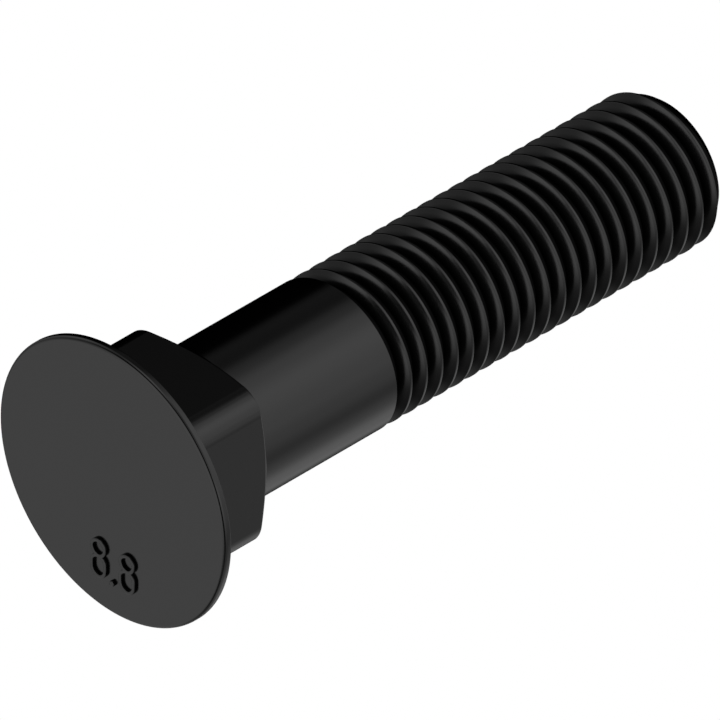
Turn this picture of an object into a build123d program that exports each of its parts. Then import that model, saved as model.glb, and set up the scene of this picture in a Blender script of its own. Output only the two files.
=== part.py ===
from build123d import *
import os
from math import radians, tan

# A plow bolt, M20 x 90, in millimetres.
# It stands on its head: z = 0 is the flat outer face of the head, and the threaded end points up.
# The origin is the centre of that face, and the bolt's axis is Z.

# Shank, whose threaded end keeps its full outside diameter here, without the thread's grooves
nominal_diameter = 20.0
overall_length = 90.0

# Thin countersunk head: a straight rim, then a flat cone down to the neck
head_diameter = 36.6
rim_height = 1.0
countersink_angle = 120.0
face_edge_radius = 0.25
rim_back_radius = 0.15

# Square neck, a little wider across its flats than the shank, that keeps the bolt from turning
neck_allowance = 1.15
neck_corner_radius = 3.0
neck_end_height = 15.0

# The flat cone that turns off the neck's far end, measured from a plane across the bolt
neck_cone_angle = 16.0
neck_edge_radius = 0.35

# The hollow round where the shank rises out of that cone
neck_foot_radius = 0.55

# Chamfered tip, where a nut starts
tip_chamfer_length = 1.8
tip_chamfer_depth = 1.5

shank_radius = nominal_diameter / 2
head_radius = head_diameter / 2
neck_across_flats = nominal_diameter + neck_allowance
countersink_depth = head_radius / tan(radians(countersink_angle / 2))
neck_cone_drop = (head_radius - shank_radius) * tan(radians(neck_cone_angle))

# Where the cone would meet the shank if there were no foot round
neck_cone_height = neck_end_height - neck_foot_radius * tan(radians((90 - neck_cone_angle) / 2))


def is_cone_edge(edge):
    """True where the neck's cone cuts its flats and corners, which leaves no straight or round edge."""
    return edge.geom_type not in (GeomType.LINE, GeomType.CIRCLE)


def foot_corner(sketch):
    """The corner of the neck's turned profile that lies on the shank, where the foot round goes."""
    return sketch.vertices().sort_by_distance((shank_radius, 0, neck_cone_height))[0]


# Forged head, turned about the bolt's axis
with BuildPart() as head:
    with BuildSketch(Plane.XZ):
        with BuildLine():
            Polyline(
                (0, 0),
                (head_radius, 0),
                (head_radius, rim_height),
                (0, rim_height + countersink_depth),
                close=True,
            )
        make_face()
    revolve(axis=Axis.Z)
    rim_back_edge = head.edges().filter_by(GeomType.CIRCLE).sort_by(Axis.Z)[-1]
    fillet(rim_back_edge, rim_back_radius)
    face_edge = head.edges().filter_by(GeomType.CIRCLE).sort_by(Axis.Z)[0]
    fillet(face_edge, face_edge_radius)

# Square neck, from the rim through the countersink to where the shank begins
with BuildPart() as neck:
    with BuildSketch(Plane.XY.offset(rim_height)):
        RectangleRounded(neck_across_flats, neck_across_flats, neck_corner_radius)
    extrude(amount=neck_end_height - rim_height)
    with BuildSketch(Plane.XZ) as turned_off:
        with BuildLine():
            Polyline(
                (shank_radius, overall_length),
                (head_radius, overall_length),
                (head_radius, neck_cone_height - neck_cone_drop),
                (shank_radius, neck_cone_height),
                close=True,
            )
        make_face()
        fillet(foot_corner(turned_off), neck_foot_radius)
    revolve(axis=Axis.Z, mode=Mode.SUBTRACT)
    fillet(neck.edges().filter_by(is_cone_edge), neck_edge_radius)

# Head, neck and shank are one piece of steel
with BuildPart() as plow_bolt:
    add(head.part)
    add(neck.part)
    with BuildSketch(Plane.XY):
        Circle(shank_radius)
    extrude(amount=overall_length)
    tip_edge = plow_bolt.edges().filter_by(GeomType.CIRCLE).sort_by(Axis.Z)[-1]
    chamfer(tip_edge, tip_chamfer_length, tip_chamfer_depth)

plow_bolt.part.label = "plow_bolt"

os.makedirs("parts", exist_ok=True)
export_step(plow_bolt.part, "parts/plow_bolt.step")
print("plow_bolt: volume", round(plow_bolt.part.volume), "mm3, valid", plow_bolt.part.is_valid)
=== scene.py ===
# %% [markdown]
# A plow bolt holds the share of a plow to its frame. It is forged from one bar of steel: a thin
# countersunk head, a square neck that keeps it from turning, and a shank with a rolled thread.
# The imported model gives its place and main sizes, so it is loaded first and never changed.

# %% Load the measured bolt
from math import atan2, ceil, cos, pi, radians, sin, tan

import bmesh
import bpy
from mathutils import Matrix, Vector


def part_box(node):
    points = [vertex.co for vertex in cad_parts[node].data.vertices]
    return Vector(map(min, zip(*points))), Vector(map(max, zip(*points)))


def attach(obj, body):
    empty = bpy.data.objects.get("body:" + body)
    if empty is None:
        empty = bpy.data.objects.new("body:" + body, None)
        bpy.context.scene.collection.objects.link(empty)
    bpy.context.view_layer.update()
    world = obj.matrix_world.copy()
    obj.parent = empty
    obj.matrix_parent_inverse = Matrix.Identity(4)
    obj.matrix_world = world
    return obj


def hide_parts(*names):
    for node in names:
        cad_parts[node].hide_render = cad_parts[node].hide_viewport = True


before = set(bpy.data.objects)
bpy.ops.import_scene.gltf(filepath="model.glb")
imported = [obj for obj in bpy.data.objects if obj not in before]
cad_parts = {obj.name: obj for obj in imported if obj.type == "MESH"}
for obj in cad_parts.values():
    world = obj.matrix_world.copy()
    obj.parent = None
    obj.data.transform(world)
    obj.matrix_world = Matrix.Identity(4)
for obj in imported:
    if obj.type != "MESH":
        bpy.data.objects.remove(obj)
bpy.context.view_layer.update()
low_corner, high_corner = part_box("plow_bolt")
print("bolt from", [round(c, 5) for c in low_corner], "to", [round(c, 5) for c in high_corner], "m")

# %% [markdown]
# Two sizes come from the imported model: the overall length and the head's diameter. The others
# repeat the solid's, except for the round on the face's edge, which the photograph shows a little
# larger. The bolt's sizes are in millimetres, and MM turns them into Blender's metres where they
# are used. The room around it is in metres.

# %% Main sizes
MM = 0.001
OVERALL_LENGTH = high_corner.z / MM
HEAD_RADIUS = high_corner.x / MM
SHANK_RADIUS = 10.0

# Sides of everything turned, enough that no corner shows in its outline
SIDES = 256
print("length", round(OVERALL_LENGTH, 2), "head radius", round(HEAD_RADIUS, 2), "mm")

# %% [markdown]
# Every operator acts on what is selected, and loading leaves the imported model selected. Corners
# could be listed in code instead, but shaping a piece as by hand keeps each step easy to follow.
# These small helpers deselect, open one piece in edit mode and select its parts by a test.


# %% Helpers for selecting and editing
def deselect():
    """Leave nothing selected, so that the next operator acts on the new piece alone."""
    bpy.ops.object.select_all(action="DESELECT")


def only(piece):
    """Make one piece the selected and active one."""
    deselect()
    piece.select_set(True)
    bpy.context.view_layer.objects.active = piece


def edit(piece, kind="FACE"):
    """Open one piece in edit mode with nothing selected."""
    only(piece)
    bpy.ops.object.mode_set(mode="EDIT")
    bpy.ops.mesh.select_mode(type=kind)
    bpy.ops.mesh.select_all(action="DESELECT")


def leave():
    """Back to object mode."""
    bpy.ops.object.mode_set(mode="OBJECT")


def pick(piece, kind, test):
    """Select the faces, edges or verts that pass a test, and say how many."""
    mesh = bmesh.from_edit_mesh(piece.data)
    elements = getattr(mesh, kind)
    for element in elements:
        element.select_set(test(element))
    bmesh.update_edit_mesh(piece.data)
    return sum(element.select for element in elements)


def settle(name):
    """Name the new piece, and move its place and size into its mesh."""
    piece = bpy.context.object
    piece.name = name
    bpy.ops.object.transform_apply(location=True, rotation=True, scale=True)
    return piece


# %% [markdown]
# The head is a disc with a thin straight rim and a flat cone behind it, the countersink. It could
# be turned from a profile, but a short cylinder is quicker to follow: its back face is extruded up
# and shrunk, which makes the cone.

# %% Head
RIM_HEIGHT = 1.0
COUNTERSINK_ANGLE = 120.0

# The cone ends inside the shank, where its top doesn't show
CONE_TOP_RADIUS = 8.0

# The least upward part of a level face's normal
LEVEL = 0.999


def faces_up(face):
    """True for a level face that looks up."""
    return face.normal.z > LEVEL


def raise_and_shrink(rise, share):
    """Extrude the selected face upwards by its rise, and scale it about the bolt's axis."""
    bpy.ops.mesh.extrude_region_move(TRANSFORM_OT_translate={"value": (0, 0, rise * MM)})
    bpy.ops.transform.resize(value=(share, share, 1), center_override=(0, 0, 0))


deselect()
bpy.ops.mesh.primitive_cylinder_add(
    vertices=SIDES,
    radius=HEAD_RADIUS * MM,
    depth=RIM_HEIGHT * MM,
    location=(0, 0, RIM_HEIGHT / 2 * MM),
)
bolt = settle("forged_bolt")
countersink_height = (HEAD_RADIUS - CONE_TOP_RADIUS) / tan(radians(COUNTERSINK_ANGLE / 2))
edit(bolt)
pick(bolt, "faces", faces_up)
raise_and_shrink(countersink_height, CONE_TOP_RADIUS / HEAD_RADIUS)
leave()
print("head: countersink", round(countersink_height, 2), "mm high")

# %% [markdown]
# Forging leaves small rounds on the edge round the outer face and on the one behind the rim. They
# catch the light as thin lines, so they are bevelled into the mesh. A bevel is measured along the
# faces, and the rim's back corner is blunter than a right angle, so its setback is worked out.

# %% Rounded edges of the head
FACE_EDGE_RADIUS = 0.45
RIM_BACK_RADIUS = 0.15


def near(value, wanted, slack=0.002 * MM):
    """True for two lengths that are the same but for rounding."""
    return abs(value - wanted) < slack


def lies_at(edge, height):
    """True for an edge whose two ends are at one height in millimetres."""
    return all(near(vertex.co.z, height * MM) for vertex in edge.verts)


back_corner = 180 - COUNTERSINK_ANGLE / 2
back_setback = RIM_BACK_RADIUS / tan(radians(back_corner / 2))
edit(bolt, "EDGE")
pick(bolt, "edges", lambda edge: lies_at(edge, 0))
bpy.ops.mesh.bevel(offset=FACE_EDGE_RADIUS * MM, segments=8)
pick(bolt, "edges", lambda edge: lies_at(edge, RIM_HEIGHT))
bpy.ops.mesh.bevel(offset=back_setback * MM, segments=4)
leave()
print("head:", len(bolt.data.polygons), "faces")

# %% [markdown]
# The neck is a square bar with round corners. A flat cone turns off its far end where the shank
# begins, so each flat ends in a shallow arch and each corner in a point. Those arches are hard to
# draw, so they are made as on the real bolt: a cube gives the bar, a bevel its corners, and a wide
# cone is intersected with it.

# %% Square bar of the neck
NECK_ACROSS_FLATS = 21.15
NECK_CORNER_RADIUS = 3.0
NECK_END = 15.0

# The bar starts inside the head, so that the two overlap
NECK_START = 2.0

deselect()
neck_height = NECK_END - NECK_START
bpy.ops.mesh.primitive_cube_add(size=1, location=(0, 0, (NECK_START + neck_height / 2) * MM))
bpy.context.object.scale = (NECK_ACROSS_FLATS * MM, NECK_ACROSS_FLATS * MM, neck_height * MM)
neck = settle("neck")
edit(neck, "EDGE")
pick(neck, "edges", lambda edge: near((edge.verts[1].co - edge.verts[0].co).xy.length, 0))
bpy.ops.mesh.bevel(offset=NECK_CORNER_RADIUS * MM, segments=24)
leave()
print("neck:", NECK_ACROSS_FLATS, "mm across its flats")

# %% Cone that turns off the neck's end
NECK_CONE_ANGLE = 16.0
NECK_CONE_START = 3.0
NECK_EDGE_RADIUS = 0.35
NECK_FOOT_RADIUS = 0.55

# How far a round reaches along the cone and along an upright face, for each millimetre of radius
setback_share = tan(radians((90 - NECK_CONE_ANGLE) / 2))
arch_setback = NECK_EDGE_RADIUS * setback_share
foot_setback = NECK_FOOT_RADIUS * setback_share

# The cone stops where the rounded arches end, and the hollow round at the shank's foot begins
cone_slope = tan(radians(NECK_CONE_ANGLE))
foot_width = NECK_ACROSS_FLATS / 2 - arch_setback * cos(radians(NECK_CONE_ANGLE)) - SHANK_RADIUS
cone_end = NECK_END - foot_setback - foot_width * cone_slope
turned_height = cone_end - NECK_CONE_START
deselect()
bpy.ops.mesh.primitive_cone_add(
    vertices=SIDES,
    radius1=(SHANK_RADIUS + foot_width + turned_height / cone_slope) * MM,
    radius2=(SHANK_RADIUS + foot_width) * MM,
    depth=turned_height * MM,
    location=(0, 0, (cone_end + NECK_CONE_START) / 2 * MM),
)
turned_end = settle("turned_end")
print("cone up to", round(cone_end, 2), "mm")

# %% [markdown]
# Where the shank rises out of the cone, the tool leaves a hollow round. A bevel can't make it,
# because there is no shank yet, so the cone's top is extruded in a few steps that get steeper.

# %% Hollow round at the shank's foot
FOOT_STEPS = 4

foot_rise = NECK_END - cone_end
foot_sweep = 2 * atan2(foot_width, foot_rise)
foot_arc = foot_rise / sin(foot_sweep)
edit(turned_end)
pick(turned_end, "faces", faces_up)
radius_now, height_now = SHANK_RADIUS + foot_width, cone_end
for step in range(1, FOOT_STEPS + 1):
    angle = foot_sweep * (1 - step / FOOT_STEPS)
    radius_next = SHANK_RADIUS + foot_arc * (1 - cos(angle))
    height_next = NECK_END - foot_arc * sin(angle)
    raise_and_shrink(height_next - height_now, radius_next / radius_now)
    radius_now, height_now = radius_next, height_next
leave()
print("foot:", round(foot_arc, 2), "mm round")

# %% [markdown]
# A Boolean modifier keeps what bar and cone share. It leaves sharp arches, and the real ones are
# soft, so they are found by the faces that they part, one upright and one sloping, and bevelled.

# %% Arches where the cone cuts the neck
# The upward part of a face's normal, on the neck's sides and on the cone
UPRIGHT_MOST = 0.1
SLOPING_LEAST, SLOPING_MOST = 0.9, 0.99


def combine(piece, other, how):
    """Join, cut or intersect a piece with another, which is used up."""
    only(piece)
    bpy.ops.object.modifier_add(type="BOOLEAN")
    modifier = piece.modifiers[-1]
    modifier.operation = how
    modifier.solver = "EXACT"
    modifier.object = other
    bpy.ops.object.modifier_apply(modifier=modifier.name)
    bpy.data.objects.remove(other)


def is_neck_arch(edge):
    """True where the cone meets a flat or a round corner of the neck."""
    if len(edge.link_faces) != 2:
        return False
    upright, sloping = sorted(abs(face.normal.z) for face in edge.link_faces)
    return upright < UPRIGHT_MOST and SLOPING_LEAST < sloping < SLOPING_MOST


combine(neck, turned_end, "INTERSECT")
edit(neck, "EDGE")
arch_edges = pick(neck, "edges", is_neck_arch)
bpy.ops.mesh.bevel(offset=arch_setback * MM, segments=6)
leave()
print("neck:", len(neck.data.polygons), "faces,", arch_edges, "arch edges rounded")

# %% [markdown]
# The shank is turned round, and its tip has a chamfer so that a nut finds its start. A cylinder
# gives the length up to the chamfer, and its end face is extruded on and shrunk, because the
# chamfer is longer than it is deep and a bevel makes both alike.

# %% Shank
TIP_CHAMFER_LENGTH = 1.8
TIP_CHAMFER_DEPTH = 1.5

# The shank starts inside the neck, so that the two overlap
SHANK_START = 4.0

deselect()
chamfer_start = OVERALL_LENGTH - TIP_CHAMFER_LENGTH
bpy.ops.mesh.primitive_cylinder_add(
    vertices=SIDES,
    radius=SHANK_RADIUS * MM,
    depth=(chamfer_start - SHANK_START) * MM,
    location=(0, 0, (chamfer_start + SHANK_START) / 2 * MM),
)
shank = settle("shank")
edit(shank)
pick(shank, "faces", faces_up)
raise_and_shrink(TIP_CHAMFER_LENGTH, (SHANK_RADIUS - TIP_CHAMFER_DEPTH) / SHANK_RADIUS)
leave()
print("shank:", len(shank.data.polygons), "faces")

# %% [markdown]
# The thread is a 60 degree groove rolled into the shank along a helix: its floor is a quarter of
# the pitch wide, and it leaves a crest an eighth of the pitch wide between its turns, with rounded
# edges. Stacked rings would look alike but have no lead, so the groove is a real helix, and its
# section comes first. The crest's round is two equal steps from the flank to the shank's surface.

# %% Section of the thread's groove
PITCH = 2.5
FLANK_ANGLE = 30.0
THREAD_LENGTH = 54.0
CREST_ROUND = 0.06

# The cutter passes the shank's surface by a lip first, so that no two surfaces lie in one place
LIP_HEIGHT = 0.003
LIP_WIDTH = 0.01
CUTTER_CLEARANCE = 0.1

crest_flat = PITCH / 8
root_flat = PITCH / 4
thread_depth = (PITCH - crest_flat - root_flat) / 2 / tan(radians(FLANK_ANGLE))
root_radius = SHANK_RADIUS - thread_depth
thread_start = OVERALL_LENGTH - THREAD_LENGTH
crest_sweep = radians(90 - FLANK_ANGLE)
half_width = (PITCH - crest_flat) / 2 + CREST_ROUND * tan(crest_sweep / 2)


def crest_point(angle):
    """Radius and half width of the groove on the crest's round, at an angle from its top."""
    return SHANK_RADIUS - CREST_ROUND * (1 - cos(angle)), half_width - CREST_ROUND * sin(angle)


section = (
    crest_point(crest_sweep),
    crest_point(crest_sweep / 2),
    (SHANK_RADIUS + LIP_HEIGHT, half_width + LIP_WIDTH),
    (SHANK_RADIUS + CUTTER_CLEARANCE, half_width + LIP_WIDTH),
)
print("thread:", round(thread_depth, 3), "mm deep")

# %% [markdown]
# The section starts as a plane a millimetre long at the groove's floor. Its outer edge is moved to
# the flank's end, and then extruded round the crest's edge and out of the shank. Only its outline
# is wound, so the inner edges and the face go.

# %% Outline of the groove's section
PLANE_LENGTH = 1.0

deselect()
plane_middle = root_radius + PLANE_LENGTH / 2
bpy.ops.mesh.primitive_plane_add(
    size=1,
    location=(plane_middle * MM, 0, thread_start * MM),
    rotation=(pi / 2, 0, 0),
)
bpy.context.object.scale = (PLANE_LENGTH * MM, root_flat * MM, 1)
groove = settle("groove")
edit(groove, "EDGE")
pick(groove, "edges", lambda edge: all(v.co.x > plane_middle * MM for v in edge.verts))
radius_now, half_now = root_radius + PLANE_LENGTH, root_flat / 2
for index, (radius_next, half_next) in enumerate(section):
    move = {"value": ((radius_next - radius_now) * MM, 0, 0)}
    if index == 0:
        bpy.ops.transform.translate(**move)
    else:
        bpy.ops.mesh.extrude_edges_move(TRANSFORM_OT_translate=move)
    widen = (1, 1, half_next / half_now)
    bpy.ops.transform.resize(value=widen, center_override=(0, 0, thread_start * MM))
    radius_now, half_now = radius_next, half_next
pick(groove, "edges", lambda edge: len(edge.link_faces) == 2)
bpy.ops.mesh.dissolve_edges(use_verts=False)
bpy.ops.mesh.select_all(action="SELECT")
bpy.ops.mesh.delete(type="ONLY_FACE")
leave()
print("section:", len(groove.data.vertices), "points")

# %% [markdown]
# A Screw modifier winds the outline up the shank: each turn lifts it by one pitch. It goes on past
# the tip for a turn or more, so that the groove runs out through the chamfer.

# %% Wind the groove
TURN_STEPS = 128

turn_count = ceil(THREAD_LENGTH / PITCH) + 1
only(groove)
bpy.ops.object.modifier_add(type="SCREW")
winding = groove.modifiers[-1]
winding.axis = "Z"
winding.angle = 2 * pi
winding.screw_offset = PITCH * MM
winding.iterations = turn_count
winding.steps = TURN_STEPS
winding.render_steps = TURN_STEPS
winding.use_merge_vertices = False
bpy.ops.object.modifier_apply(modifier=winding.name)
print("groove:", turn_count, "turns,", len(groove.data.vertices), "points")

# %% [markdown]
# A rolled groove doesn't stop dead: it fades out of the shank over part of a turn. The open loop at
# its start is extruded backwards step by step, each step turned about the axis, lowered by its
# share of the pitch and moved outwards, until it is clear of the shank. Both ends are then closed.

# %% Run-out of the groove
RUNOUT_TURN = 0.45
RUNOUT_STEPS = 40
THREAD_START_ANGLE = 208.0

step_angle = 360 * RUNOUT_TURN / RUNOUT_STEPS
step_drop = PITCH * RUNOUT_TURN / RUNOUT_STEPS
step_out = (thread_depth + CUTTER_CLEARANCE) / RUNOUT_STEPS
first_loop_top = (thread_start + half_now + LIP_WIDTH) * MM


def is_first_loop(edge):
    """True for the open edges at the groove's start, which lie over the X axis."""
    return edge.is_boundary and all(v.co.z < first_loop_top and near(v.co.y, 0) for v in edge.verts)


edit(groove, "EDGE")
pick(groove, "edges", is_first_loop)
for step in range(1, RUNOUT_STEPS + 1):
    bpy.ops.mesh.extrude_edges_move(TRANSFORM_OT_translate={"value": (0, 0, -step_drop * MM)})
    # With no window this operator turns clockwise seen from the tip, which is back along the thread
    bpy.ops.transform.rotate(value=radians(step_angle), orient_axis="Z", center_override=(0, 0, 0))
    turned = radians(-step_angle * step)
    outwards = (step_out * MM * cos(turned), step_out * MM * sin(turned), 0)
    bpy.ops.transform.translate(value=outwards)
bpy.ops.mesh.select_all(action="SELECT")
bpy.ops.mesh.fill_holes(sides=0)
bpy.ops.mesh.normals_make_consistent(inside=False)
leave()

groove.rotation_euler.z = radians(THREAD_START_ANGLE)
bpy.ops.object.transform_apply(location=True, rotation=True, scale=True)
print("groove with run-out:", len(groove.data.polygons), "faces")

# %% [markdown]
# The head carries its strength class, 8.8, in raised figures, as metric bolts do: plain numbers
# that the forging die presses into shape. Each figure is two rings, a round one over a longer one,
# and rings are plainer to shape than a typeface's letters. The figures start inside the head and
# end in front of its face, which looks down.

# %% Flat shapes and their raised walls
MARK_RAISED = 0.37
MARK_SUNK = 0.3
STROKE_EDGE = 0.08
RING_SIDES = 40
DOT_X, DOT_Y, DOT_RADIUS = 0.2, 13.84, 0.38

# The least difference between two faces' normals, up or down, at a sharp edge
SHARP = 0.5


def flat_disc(x, y, radius):
    """A filled circle on the plane that the figures start from, just inside the head."""
    deselect()
    bpy.ops.mesh.primitive_circle_add(
        vertices=RING_SIDES,
        radius=radius * MM,
        fill_type="NGON",
        location=(x * MM, y * MM, MARK_SUNK * MM),
    )
    return settle("disc")


def is_figure_edge(edge):
    """True for the sharp edges of a figure's outer face."""
    if not lies_at(edge, -MARK_RAISED) or len(edge.link_faces) != 2:
        return False
    return abs(edge.link_faces[0].normal.z - edge.link_faces[1].normal.z) > SHARP


def raise_up(piece):
    """Extrude a flat shape out of the head, which is downwards, and round its sharp edges."""
    edit(piece)
    bpy.ops.mesh.select_all(action="SELECT")
    depth = -(MARK_SUNK + MARK_RAISED) * MM
    bpy.ops.mesh.extrude_region_move(TRANSFORM_OT_translate={"value": (0, 0, depth)})
    bpy.ops.mesh.select_all(action="SELECT")
    bpy.ops.mesh.normals_make_consistent(inside=False)
    bpy.ops.mesh.select_mode(type="EDGE")
    pick(piece, "edges", is_figure_edge)
    bpy.ops.mesh.bevel(offset=STROKE_EDGE * MM, segments=2)
    leave()


dot = flat_disc(DOT_X, DOT_Y, DOT_RADIUS)
raise_up(dot)
print("dot:", len(dot.data.polygons), "faces")

# %% [markdown]
# A ring starts as a filled circle. Its two halves are moved apart, it is inset by the stroke, and
# the middle is taken out, which leaves a band to raise. The second figure is a copy of the first.

# %% Figures
STROKE = 0.45
FIGURE_X = -1.96
FIGURE_STEP = 4.62
UPPER_RING_Y, UPPER_RING_RADIUS = 9.89, 1.04
LOWER_RING_Y, LOWER_RING_RADIUS, LOWER_RING_STRETCH = 12.39, 1.08, 0.34

# The points this near to a circle's middle line stay where they are
MIDDLE_SLACK = 0.01


def ring(y, radius, stretch):
    """One loop of the first figure, whose halves are each moved out by the stretch."""
    band = flat_disc(FIGURE_X, y, radius + STROKE / 2)
    edit(band, "VERT")
    for side in (-1, 1):
        pick(band, "verts", lambda vertex: side * (vertex.co.y - y * MM) > MIDDLE_SLACK * MM)
        bpy.ops.transform.translate(value=(0, side * stretch * MM, 0))
    bpy.ops.mesh.select_mode(type="FACE")
    bpy.ops.mesh.select_all(action="SELECT")
    bpy.ops.mesh.inset(thickness=STROKE * MM)
    bpy.ops.mesh.delete(type="FACE")
    leave()
    raise_up(band)
    return band


figure = ring(UPPER_RING_Y, UPPER_RING_RADIUS, 0)
combine(figure, ring(LOWER_RING_Y, LOWER_RING_RADIUS, LOWER_RING_STRETCH), "UNION")
only(figure)
bpy.ops.object.duplicate()
bpy.context.object.location.x = FIGURE_STEP * MM
second_figure = settle("second_figure")
print("figure:", len(figure.data.polygons), "faces")

# %% [markdown]
# On the real bolt all this is one piece of steel, so the shank is cut by the groove and then joined
# with the neck, the head and the figures into one closed mesh. Faces that meet at a small angle are
# shaded smooth, sharper edges stay crisp, and weighted normals keep the flats flat.

# %% One piece of steel
SMOOTH_ANGLE = 32.0
MERGE_DISTANCE = 0.0005

combine(shank, groove, "DIFFERENCE")
combine(neck, shank, "UNION")
combine(bolt, neck, "UNION")
for raised in (figure, second_figure, dot):
    combine(bolt, raised, "UNION")
edit(bolt)
bpy.ops.mesh.select_all(action="SELECT")
bpy.ops.mesh.remove_doubles(threshold=MERGE_DISTANCE * MM)
leave()
bpy.ops.object.shade_smooth_by_angle(angle=radians(SMOOTH_ANGLE))
bpy.ops.object.modifier_add(type="WEIGHTED_NORMAL")
weighted = bolt.modifiers[-1]
weighted.keep_sharp = True
bpy.ops.object.modifier_apply(modifier=weighted.name)

# %% Measure the finished mesh
measured = bmesh.new()
measured.from_mesh(bolt.data)
open_edges = sum(not edge.is_manifold for edge in measured.edges)
triangles = sum(len(face.verts) - 2 for face in measured.faces)
volume = measured.calc_volume() / MM ** 3
measured.free()
print("bolt:", triangles, "triangles, open edges", open_edges, "volume", round(volume), "mm3")

# %% [markdown]
# Black oxide is what a hot salt bath leaves on forged steel: a thin black skin that is still metal
# to the eye, so reflections are dark but clear. A black paint would be a plastic with a white
# shine, so this stays a metal with a dark base. One helper turns hex colours to linear ones,
# another adds a node with its settings and links.


# %% Material helpers
def linear(hex_colour):
    """An sRGB hex colour as Blender's linear red, green, blue and alpha."""
    channels = [int(hex_colour[i:i + 2], 16) / 255 for i in (1, 3, 5)]
    return [c / 12.92 if c <= 0.04045 else ((c + 0.055) / 1.055) ** 2.4 for c in channels] + [1]


def add_node(tree, kind, settings=(), inputs=()):
    """Add a node. Settings are attributes, and inputs are values or the outputs to link."""
    node = tree.nodes.new(kind)
    for name, value in dict(settings).items():
        setattr(node, name, value)
    for name, value in dict(inputs).items():
        if isinstance(value, bpy.types.NodeSocket):
            tree.links.new(value, node.inputs[name])
        else:
            node.inputs[name].default_value = value
    return node


def new_material(name):
    """An empty node material and its output node."""
    material = bpy.data.materials.new(name)
    material.use_nodes = True
    material.node_tree.nodes.clear()
    return material, add_node(material.node_tree, "ShaderNodeOutputMaterial")


# %% [markdown]
# The steel is blasted before its bath, and the grit leaves the gloss slightly uneven. That is too
# fine to see as bumps, so noise of the grit's size changes the roughness alone.

# %% Gloss left by the blasting grit
GRIT_SIZE = 0.12
SMOOTHEST, ROUGHEST = 0.14, 0.2

steel, steel_output = new_material("black_oxide_steel")
tree = steel.node_tree
place = add_node(tree, "ShaderNodeTexCoord")
grit = add_node(
    tree,
    "ShaderNodeTexNoise",
    inputs={"Vector": place.outputs["Object"], "Scale": 1 / (GRIT_SIZE * MM), "Detail": 2.0},
)
softness = add_node(
    tree,
    "ShaderNodeMapRange",
    inputs={"Value": grit.outputs["Fac"], "To Min": SMOOTHEST, "To Max": ROUGHEST},
)
print("grit:", GRIT_SIZE, "mm, roughness", SMOOTHEST, "to", ROUGHEST)

# %% [markdown]
# The thread's grooves are painted darker. This is painted shade, standing for the shade and the dark
# reflections deep in them. The distance from the axis says how deep a point lies in a groove. The
# end faces have points near the axis too, so the height keeps the mask on the thread and its run-out.

# %% Mask of the painted shade in the thread's grooves
UNSHADED_DEPTH = 0.5
MASK_LEAD = 2 * PITCH
TIP_MARGIN = 0.02

axes = add_node(tree, "ShaderNodeSeparateXYZ", inputs={"Vector": place.outputs["Object"]})
across = add_node(
    tree,
    "ShaderNodeVectorMath",
    {"operation": "MULTIPLY"},
    {0: place.outputs["Object"], 1: (1, 1, 0)},
)
from_axis = add_node(
    tree,
    "ShaderNodeVectorMath",
    {"operation": "LENGTH"},
    {0: across.outputs["Vector"]},
)
groove_depth = add_node(
    tree,
    "ShaderNodeMapRange",
    inputs={
        "Value": from_axis.outputs["Value"],
        "From Min": root_radius * MM,
        "From Max": (SHANK_RADIUS - UNSHADED_DEPTH) * MM,
        "To Min": 1.0,
        "To Max": 0.0,
    },
)
past_shank = add_node(
    tree,
    "ShaderNodeMath",
    {"operation": "GREATER_THAN"},
    {0: axes.outputs["Z"], 1: (thread_start - MASK_LEAD) * MM},
)
before_tip = add_node(
    tree,
    "ShaderNodeMath",
    {"operation": "LESS_THAN"},
    {0: axes.outputs["Z"], 1: (OVERALL_LENGTH - TIP_MARGIN) * MM},
)
on_thread = add_node(
    tree,
    "ShaderNodeMath",
    {"operation": "MULTIPLY"},
    {0: past_shank.outputs["Value"], 1: before_tip.outputs["Value"]},
)
groove_shade_mask = add_node(
    tree,
    "ShaderNodeMath",
    {"operation": "MULTIPLY"},
    {0: groove_depth.outputs["Result"], 1: on_thread.outputs["Value"]},
)
print("grooves darken below", SHANK_RADIUS - UNSHADED_DEPTH, "mm from the axis")

# %% Black oxide steel
OXIDE = "#3D3D3D"
# The groove's near-black is painted shade, not a colour of the steel
GROOVE_PAINTED_SHADE = "#0C0C0C"

# A Mix node has a pair of sockets for each data type: its colours go in at 6 and 7 and out at 2
COLOUR_A, COLOUR_B, COLOUR_OUT = 6, 7, 2

# The oxide's own grey, mixed with the painted shade towards the bottom of each groove
oxide = add_node(
    tree,
    "ShaderNodeMix",
    {"data_type": "RGBA"},
    {
        "Factor": groove_shade_mask.outputs["Value"],
        COLOUR_A: linear(OXIDE),
        COLOUR_B: linear(GROOVE_PAINTED_SHADE),
    },
)
surface = add_node(
    tree,
    "ShaderNodeBsdfPrincipled",
    inputs={
        "Base Color": oxide.outputs[COLOUR_OUT],
        "Metallic": 1.0,
        "Roughness": softness.outputs["Result"],
    },
)
tree.links.new(surface.outputs["BSDF"], steel_output.inputs["Surface"])
bolt.data.materials.clear()
bolt.data.materials.append(steel)
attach(bolt, "root")
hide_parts("plow_bolt")
print("material:", steel.name)

# %% [markdown]
# The bolt stands on its head, and the photograph looks up at the head from below. So the floor is
# pale and solid from above, where it takes the bolt's shadow, and clear from below and to light.

# %% Floor
FLOOR_SIZE = 3.0
FLOOR_GAP = 0.02

deselect()
bpy.ops.mesh.primitive_plane_add(
    size=FLOOR_SIZE,
    location=(0, 0, -(MARK_RAISED + FLOOR_GAP) * MM),
)
floor = bpy.context.object
floor.name = "pale_floor"
floor.visible_glossy = False
floor.visible_diffuse = False
floor.visible_transmission = False
floor.visible_shadow = False
print("floor:", FLOOR_SIZE, "m across")

# %% [markdown]
# Away from the bolt the floor's paint fades into the white of the room, as a studio's paper sweep
# does, so no horizon cuts the picture. The fade ends within a bolt's length or two.

# %% Floor paint
FLOOR_COLOUR = "#F2F2F0"
FADE_START = 0.03
FADE_END = 0.145

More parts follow.
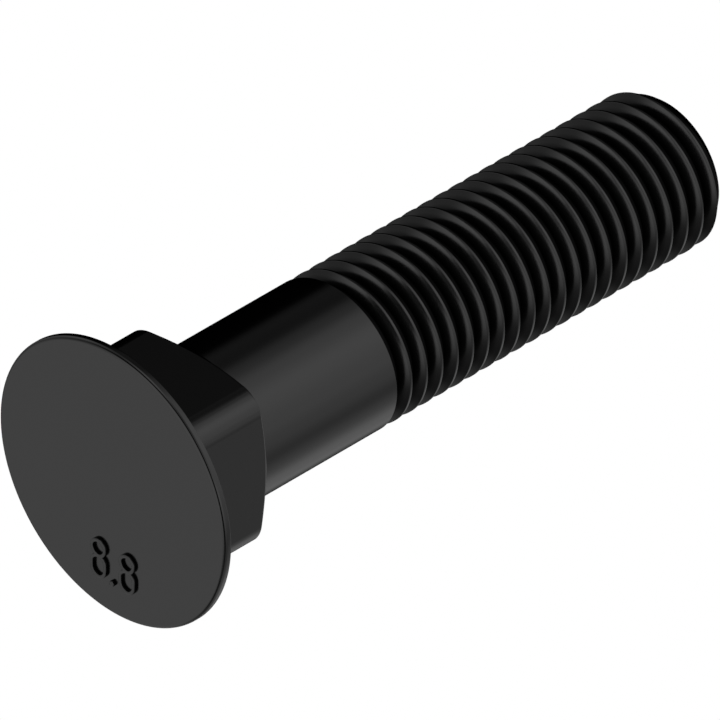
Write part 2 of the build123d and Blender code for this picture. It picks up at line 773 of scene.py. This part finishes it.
floor_paint, floor_output = new_material("pale_floor_paint")
tree = floor_paint.node_tree
side = add_node(tree, "ShaderNodeNewGeometry")
paint = add_node(tree, "ShaderNodeBsdfDiffuse", inputs={"Color": linear(FLOOR_COLOUR)})
clear = add_node(tree, "ShaderNodeBsdfTransparent")
place = add_node(tree, "ShaderNodeTexCoord")
away = add_node(
    tree,
    "ShaderNodeVectorMath",
    {"operation": "LENGTH"},
    {0: place.outputs["Object"]},
)
fading = add_node(
    tree,
    "ShaderNodeMapRange",
    {"interpolation_type": "SMOOTHSTEP"},
    {"Value": away.outputs["Value"], "From Min": FADE_START, "From Max": FADE_END},
)
white = add_node(tree, "ShaderNodeEmission")
sweep = add_node(
    tree,
    "ShaderNodeMixShader",
    inputs={0: fading.outputs["Result"], 1: paint.outputs["BSDF"], 2: white.outputs["Emission"]},
)
either = add_node(
    tree,
    "ShaderNodeMixShader",
    inputs={0: side.outputs["Backfacing"], 1: sweep.outputs["Shader"], 2: clear.outputs["BSDF"]},
)
tree.links.new(either.outputs["Shader"], floor_output.inputs["Surface"])
floor.data.materials.append(floor_paint)
print("floor fades to white", FADE_END, "m from the bolt")

# %% [markdown]
# Dark metal shows only what it mirrors, and in an all-white room it looks flat. So the bolt stands
# in a light tent, a large sphere of cloth that reflections alone can see. Lamps would give hard
# glints, while the tent's greys change slowly round the bolt.

# %% World and light tent
TENT_RADIUS = 2.0

world = bpy.data.worlds.new("white_room")
bpy.context.scene.world = world
world.use_nodes = True
world.node_tree.nodes["Background"].inputs["Color"].default_value = linear("#FFFFFF")
world.node_tree.nodes["Background"].inputs["Strength"].default_value = 1.0

deselect()
bpy.ops.mesh.primitive_uv_sphere_add(segments=64, ring_count=32, radius=TENT_RADIUS)
tent = bpy.context.object
tent.name = "light_tent"
tent.visible_camera = False
tent.visible_diffuse = False
tent.visible_transmission = False
tent.visible_shadow = False
print("tent:", TENT_RADIUS, "m in radius")

# %% [markdown]
# The cloth has three belts, a high one, a middle one and a low one, and a disc straight below. A
# belt is a list of bearings in degrees from +X towards +Y, each with the cloth's brightness there,
# where 1 is white. They were adjusted render by render, until the greys on the bolt's flats, shank
# and thread came close to the photograph's.

# %% Belts of the tent
TENT_BRIGHTEST = 1.25
HIGH_BELT = (
    (-180, 0), (-145, 0), (-127, 0.13), (-108, 0.11), (-90, 0.4), (-70, 0.84), (-45, 1.15), (-5, 0.93),
    (15, 0.73), (38, 0.41), (55, 0.56), (75, 0.72), (95, 0.46), (115, 0.1), (125, 0), (180, 0),
)
MIDDLE_BELT = (
    (-180, 0.4), (-150, 0.8), (-120, 0.35), (-90, 1.1), (-60, 0.4), (-30, 0.7), (0, 1.2), (40, 0.4),
    (68, 0.75), (92, 0.2), (118, 0.5), (140, 0.2), (165, 0.25), (180, 0.4),
)
LOW_BELT = (
    (-180, 0.33), (-165, 0.33), (-140, 0.1), (-120, 0), (-45, 0), (30, 0), (75, 0.2), (92, 0.1),
    (118, 0.8), (135, 0.84), (155, 0.72), (180, 0.33),
)
STRAIGHT_DOWN = 1.15

# The heights in degrees over which one belt changes into the next
HIGH_BLEND = (12, 26)
LOW_BLEND = (-16, -25)
DOWN_BLEND = (-42, -64)
print("tent:", len(HIGH_BELT) + len(MIDDLE_BELT) + len(LOW_BELT), "greys")

# %% [markdown]
# A radial gradient gives the bearing, a colour ramp turns it into a belt's grey, and the height
# mixes the belts. A painted picture could do the same, but nodes need no file.

# %% Tent cloth
cloth, cloth_output = new_material("tent_cloth")
tree = cloth.node_tree
place = add_node(tree, "ShaderNodeTexCoord")
axes = add_node(tree, "ShaderNodeSeparateXYZ", inputs={"Vector": place.outputs["Object"]})
around = add_node(
    tree,
    "ShaderNodeTexGradient",
    {"gradient_type": "RADIAL"},
    {"Vector": place.outputs["Object"]},
)


def cloth_grey(brightness):
    """The cloth's grey for a brightness, as linear red, green, blue and alpha."""
    return [brightness / TENT_BRIGHTEST] * 3 + [1]


def belt(stops):
    """A belt of cloth whose grey changes with the bearing."""
    ramp = add_node(tree, "ShaderNodeValToRGB", inputs={"Fac": around.outputs["Fac"]})
    elements = ramp.color_ramp.elements
    ramp.color_ramp.interpolation = "EASE"
    while len(elements) < len(stops):
        elements.new(0.5)
    for element, (bearing, brightness) in zip(elements, stops):
        element.position = (bearing + 180) / 360
        element.color = cloth_grey(brightness)
    return ramp.outputs["Color"]


def blend(first, second, heights):
    """Change from one grey to the next between two heights above the horizon."""
    low, high = (TENT_RADIUS * sin(radians(height)) for height in heights)
    share = add_node(
        tree,
        "ShaderNodeMapRange",
        {"interpolation_type": "SMOOTHSTEP"},
        {"Value": axes.outputs["Z"], "From Min": low, "From Max": high},
    )
    mix = add_node(
        tree,
        "ShaderNodeMix",
        {"data_type": "RGBA"},
        {"Factor": share.outputs["Result"], COLOUR_A: first, COLOUR_B: second},
    )
    return mix.outputs[COLOUR_OUT]


grey = blend(belt(MIDDLE_BELT), belt(HIGH_BELT), HIGH_BLEND)
grey = blend(grey, belt(LOW_BELT), LOW_BLEND)
grey = blend(grey, cloth_grey(STRAIGHT_DOWN), DOWN_BLEND)
glow = add_node(tree, "ShaderNodeEmission", inputs={"Color": grey, "Strength": TENT_BRIGHTEST})
tree.links.new(glow.outputs["Emission"], cloth_output.inputs["Surface"])
tent.data.materials.append(cloth)
print("cloth:", len(tree.nodes), "nodes")

# %% [markdown]
# One soft lamp above gives the floor its shadow. The metal doesn't mirror it.

# %% Lamp
LAMP_PLACE = (0.25, -0.35, 0.7)
LAMP_SIZE = 0.3
LAMP_WATTS = 0.6

deselect()
bpy.ops.object.light_add(type="AREA", location=LAMP_PLACE)
lamp = bpy.context.object
lamp.name = "soft_lamp"
lamp.data.shape = "DISK"
lamp.data.size = LAMP_SIZE
lamp.data.energy = LAMP_WATTS
aim = Vector((0, 0, OVERALL_LENGTH / 2 * MM)) - lamp.location
lamp.rotation_euler = aim.to_track_quat("-Z", "Y").to_euler()
lamp.visible_glossy = False
print("lamp", round(aim.length, 3), "m away")

# %% [markdown]
# The photograph is an exact isometric view with no perspective, so the camera stands far off with
# a very long lens. It looks up at the head's outer face, rolled so that the bolt lies slanting. The
# little perspective that is left is shared between the head and the tip by where the camera aims.

# %% Camera
LENS = 1690.0
SENSOR = 36.0
FRAME_WIDTH = 82.45
TARGET = (1.402, 1.402, 38.58)

# The nearest and the farthest that the camera sees, in metres
CLIP_START, CLIP_END = 0.1, 20

# The way from the bolt to the camera, and the way up in its picture
to_camera = Vector((1, -1, -1)).normalized()
image_up = Vector((-1, -2, 1)).normalized()
image_right = image_up.cross(to_camera)
distance = FRAME_WIDTH * LENS / SENSOR

deselect()
bpy.ops.object.camera_add()
camera = bpy.context.object
camera.name = "isometric_camera"
camera.data.lens = LENS
camera.data.sensor_width = SENSOR
camera.data.clip_start = CLIP_START
camera.data.clip_end = CLIP_END
camera.rotation_euler = Matrix((image_right, image_up, to_camera)).transposed().to_euler()
camera.location = Vector(TARGET) * MM + to_camera * distance * MM
bpy.context.scene.camera = camera
bpy.context.scene.view_settings.view_transform = "Standard"
print("camera", round(distance * MM, 3), "m away")
